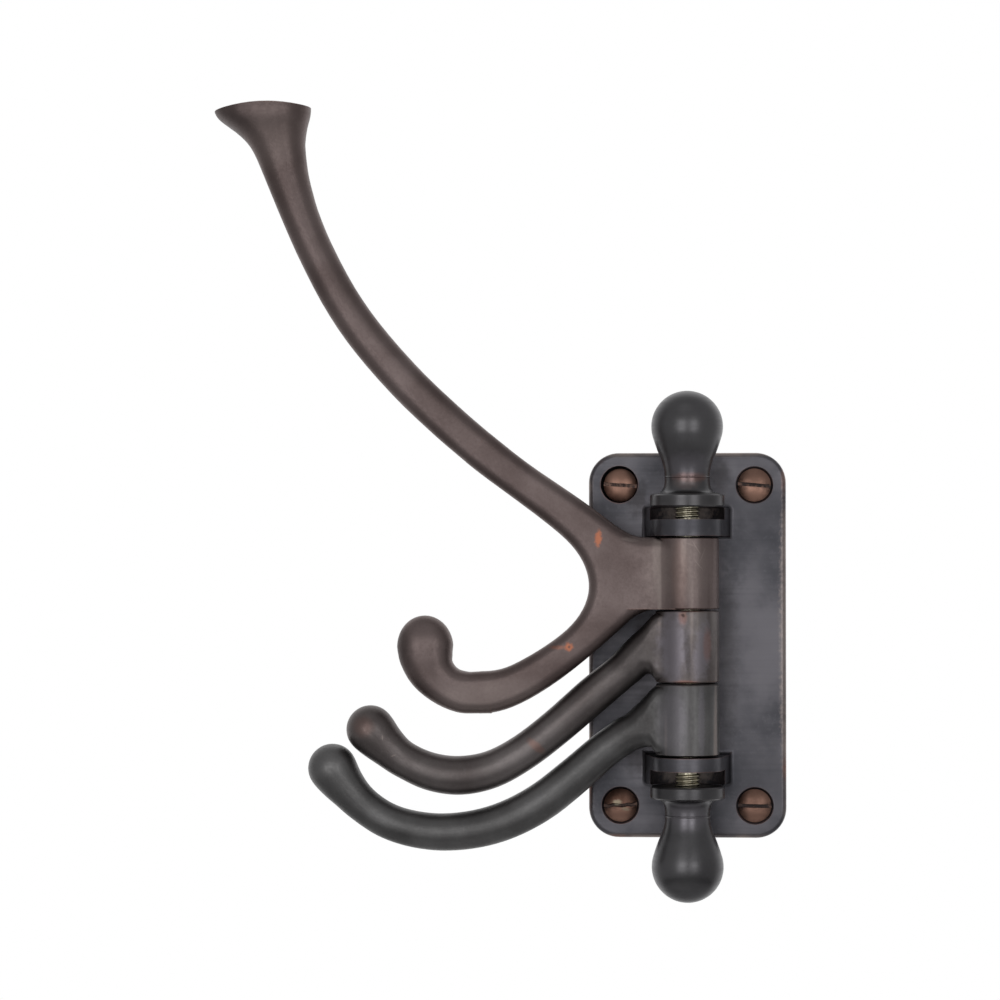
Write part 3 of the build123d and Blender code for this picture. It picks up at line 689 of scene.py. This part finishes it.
class COATHOOK_OT_studio(bpy.types.Operator):
    """Set the camera, the lamps, the pale floor and the white surroundings"""

    bl_idname = "coat_hook.studio"
    bl_label = "Set up the studio"

    # Camera from the photo's angle, with the lens in mm
    STAND = Vector((0.2, -800.0, 21.3)) * MM
    AIM = Vector((-47.9, -15.5, 37.4)) * MM
    LENS, SENSOR = 110.4, 36.0

    # Softboxes: place, width and height in metres, and power in watts
    SOFTBOXES = (
        ("softbox_left", (-0.27, -0.87, 0.07), (0.4, 0.54), 1.05),
        ("softbox_right", (0.33, -0.85, 0.07), (0.32, 0.54), 0.92),
        ("softbox_top", (-0.1, -0.5, 0.95), (0.6, 0.5), 0.16),
    )

    # Strength of the room in front, and where the white behind starts and is full, as a direction's Y
    ROOM = 0.37
    WHITE_WAY = (0.15, 0.8)

    # The floor's radius, its fade into the white, where reflections see it white, and its lift
    FLOOR_RADIUS = 0.46
    FLOOR_FADE = (0.22, 0.44)
    FLOOR_WHITE = (0.05, 0.3)
    FLOOR_LIFT = 0.33

    def execute(self, context):
        self.camera()
        for name, stand, extent, watts in self.SOFTBOXES:
            self.softbox(name, Vector(stand), extent, watts)
        self.surroundings(context)
        self.floor(context)
        context.scene.view_settings.view_transform = "Standard"
        return {"FINISHED"}

    def camera(self):
        """Camera at the photograph's angle."""
        data = bpy.data.cameras.new("camera")
        data.lens, data.sensor_width = self.LENS, self.SENSOR
        data.clip_start, data.clip_end = 0.01, 100.0
        camera = bpy.data.objects.new("camera", data)
        camera.location = self.STAND
        camera.rotation_mode = "QUATERNION"
        camera.rotation_quaternion = (self.AIM - self.STAND).to_track_quat("-Z", "Y")
        bpy.context.scene.collection.objects.link(camera)
        bpy.context.scene.camera = camera

    def softbox(self, name, stand, extent, watts):
        """A soft lamp that points at the object."""
        data = bpy.data.lights.new(name, "AREA")
        data.shape, data.size, data.size_y, data.energy = "RECTANGLE", extent[0], extent[1], watts
        lamp = bpy.data.objects.new(name, data)
        lamp.location = stand
        lamp.rotation_mode = "QUATERNION"
        centre = (cad_box[0] + cad_box[1]) / 2
        lamp.rotation_quaternion = (centre - stand).to_track_quat("-Z", "Y")
        bpy.context.scene.collection.objects.link(lamp)

    def surroundings(self, context):
        """White behind the object, also in its reflections, and an even room in front."""
        world = bpy.data.worlds.new("studio")
        world.use_nodes = True
        context.scene.world = world
        tree = world.node_tree
        tree.nodes.clear()
        way = add_node(tree, "ShaderNodeTexCoord", output="Generated")
        back = add_node(tree, "ShaderNodeSeparateXYZ", (way,), output="Y")
        white = (1.0, 1.0, 1.0, 1.0)
        room = add_node(tree, "ShaderNodeBackground", {"Color": white, "Strength": self.ROOM})
        backdrop = add_node(tree, "ShaderNodeBackground", {"Color": white, "Strength": 1.0})
        share = self.sees_white(tree, back, self.WHITE_WAY)
        seen = add_node(tree, "ShaderNodeMixShader", (share, room, backdrop))
        add_node(tree, "ShaderNodeOutputWorld", {"Surface": seen})

    def ray(self, tree, *kinds):
        """One for a ray of any of those kinds, and zero for the rest."""
        found = 0.0
        for kind in kinds:
            one = add_node(tree, "ShaderNodeLightPath", output="Is " + kind + " Ray")
            found = add_node(tree, inputs=(one, found), **LARGER)
        return found

    def sees_white(self, tree, depth, limits):
        """One for the camera's rays, and for mirrored and refracted ones beyond those limits."""
        behind = add_node(tree, inputs=(depth, *limits), **RANGE)
        mirrored = add_node(tree, inputs=(self.ray(tree, "Glossy", "Transmission"), behind), **TIMES)
        return add_node(tree, inputs=(self.ray(tree, "Camera"), mirrored), **LARGER)

    def floor(self, context):
        """Pale floor under the hook that keeps its shadow and fades into the white round it."""
        size, tint = context.scene.hook_sizes, context.scene.hook_colours
        bm = bmesh.new()
        bmesh.ops.create_circle(bm, cap_ends=True, radius=self.FLOOR_RADIUS, segments=96)
        bmesh.ops.translate(bm, verts=bm.verts, vec=(0, 0, cad_box[0].z - size.floor_drop))

        # Matt white paint on board: no gloss, a little lighter to the eye than its lighting gives
        material = bpy.data.materials.new("painted_floor")
        material.use_nodes = True
        tree = material.node_tree
        tree.nodes.clear()
        place = add_node(tree, "ShaderNodeTexCoord", output="Object")
        flat = add_node(tree, "ShaderNodeVectorMath", (place, (1.0, 1.0, 0.0)), operation="MULTIPLY")
        far = add_node(tree, "ShaderNodeVectorMath", {0: flat}, output="Value", operation="LENGTH")
        depth = add_node(tree, "ShaderNodeSeparateXYZ", (place,), output="Y")
        seen = self.sees_white(tree, depth, self.FLOOR_WHITE)
        lift = add_node(tree, inputs=(seen, self.FLOOR_LIFT), **TIMES)
        paint = add_node(tree, "ShaderNodeBsdfDiffuse", {"Color": opaque(tint.floor)})
        lifted = add_node(tree, "ShaderNodeEmission", {"Strength": lift})
        lit = add_node(tree, "ShaderNodeAddShader", (paint, lifted))
        white = add_node(tree, "ShaderNodeEmission", {"Strength": seen})
        fade = add_node(tree, inputs=(far, *self.FLOOR_FADE), **RANGE)
        shader = add_node(tree, "ShaderNodeMixShader", (fade, lit, white))
        add_node(tree, "ShaderNodeOutputMaterial", {"Surface": shader})
        new_piece("floor", bm, material)


class COATHOOK_PT_panel(bpy.types.Panel):
    """Lists the steps and their sizes and colours"""

    bl_idname = "COATHOOK_PT_panel"
    bl_label = "Swivel Coat Hook"
    bl_space_type = "VIEW_3D"
    bl_region_type = "UI"
    bl_category = "Coat Hook"

    def draw(self, context):
        for step in STEPS:
            self.layout.operator(step.bl_idname)
        for group in (context.scene.hook_sizes, context.scene.hook_colours):
            for name in group.__annotations__:
                self.layout.prop(group, name)


STEPS = (COATHOOK_OT_castings, COATHOOK_OT_pin, COATHOOK_OT_screws, COATHOOK_OT_studio)
CLASSES = (HookSizes, HookColours) + STEPS + (COATHOOK_PT_panel,)


def register():
    for item in CLASSES:
        bpy.utils.register_class(item)
    bpy.types.Scene.hook_sizes = PointerProperty(type=HookSizes)
    bpy.types.Scene.hook_colours = PointerProperty(type=HookColours)


def unregister():
    del bpy.types.Scene.hook_colours
    del bpy.types.Scene.hook_sizes
    for item in reversed(CLASSES):
        bpy.utils.unregister_class(item)


def main():
    register()
    bpy.ops.coat_hook.studio()
    bpy.ops.coat_hook.castings()
    bpy.ops.coat_hook.pin()
    bpy.ops.coat_hook.screws()


if __name__ == "__main__":
    main()
